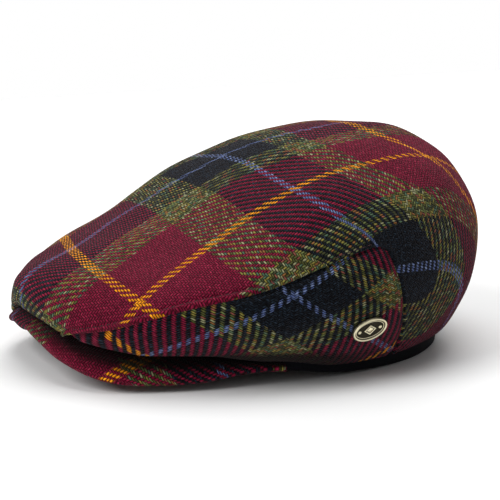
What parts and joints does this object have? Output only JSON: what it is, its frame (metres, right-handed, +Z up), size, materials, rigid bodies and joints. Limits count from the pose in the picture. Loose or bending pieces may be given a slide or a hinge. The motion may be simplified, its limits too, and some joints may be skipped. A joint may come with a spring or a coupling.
{
  "type": "flat cap",
  "caption": "Tartan tweed flat cap with a rounded crown, a short curved peak, an inner band and an oval metal badge on one side.",
  "frame": {"origin": "the point on the resting surface under the middle of the cap's bounding box", "axes": "+Z up with the cap standing on its peak and band as in the picture, the peak towards -Y, the wearer's left and the badge towards +X"},
  "size_m": [0.2101, 0.2545, 0.1148],
  "materials": {
    "tweed": "tartan wool tweed in burgundy, olive green and navy",
    "band_cloth": "black cotton twill",
    "aged_brass": "aged, with a polished rim"
  },
  "bodies": {
    "root": {"top_panel": "tweed", "side_panel_left": "tweed", "side_panel_right": "tweed", "peak": "tweed", "inner_band": "band_cloth", "badge": "aged_brass"}
  },
  "joints": []
}
